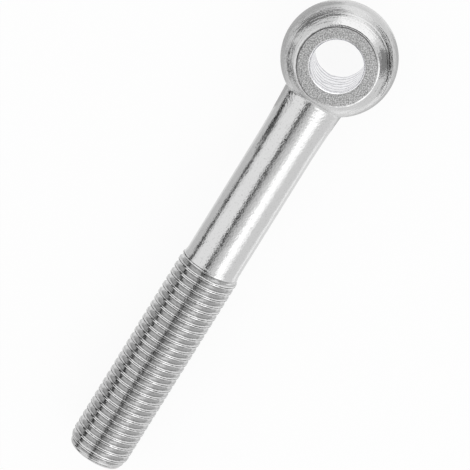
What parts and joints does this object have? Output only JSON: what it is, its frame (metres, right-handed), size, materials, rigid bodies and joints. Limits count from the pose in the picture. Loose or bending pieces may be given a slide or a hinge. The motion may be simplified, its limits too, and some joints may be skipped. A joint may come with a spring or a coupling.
{
  "type": "swing eye bolt",
  "caption": "Swing eye bolt: a forged round eye with two flats and a hinge pin bore, a plain shank and a rolled right-hand metric thread.",
  "frame": {"origin": "centre of the eye, on the axis of its bore", "axes": "+Z along the bore, up from the flat that the bolt lies on; +X along the shank, from the eye to the threaded point"},
  "size_m": [0.1344, 0.0288, 0.018],
  "materials": {
    "stainless_steel": "tumbled, satin"
  },
  "bodies": {
    "root": {"eye_bolt": "stainless_steel"}
  },
  "joints": []
}
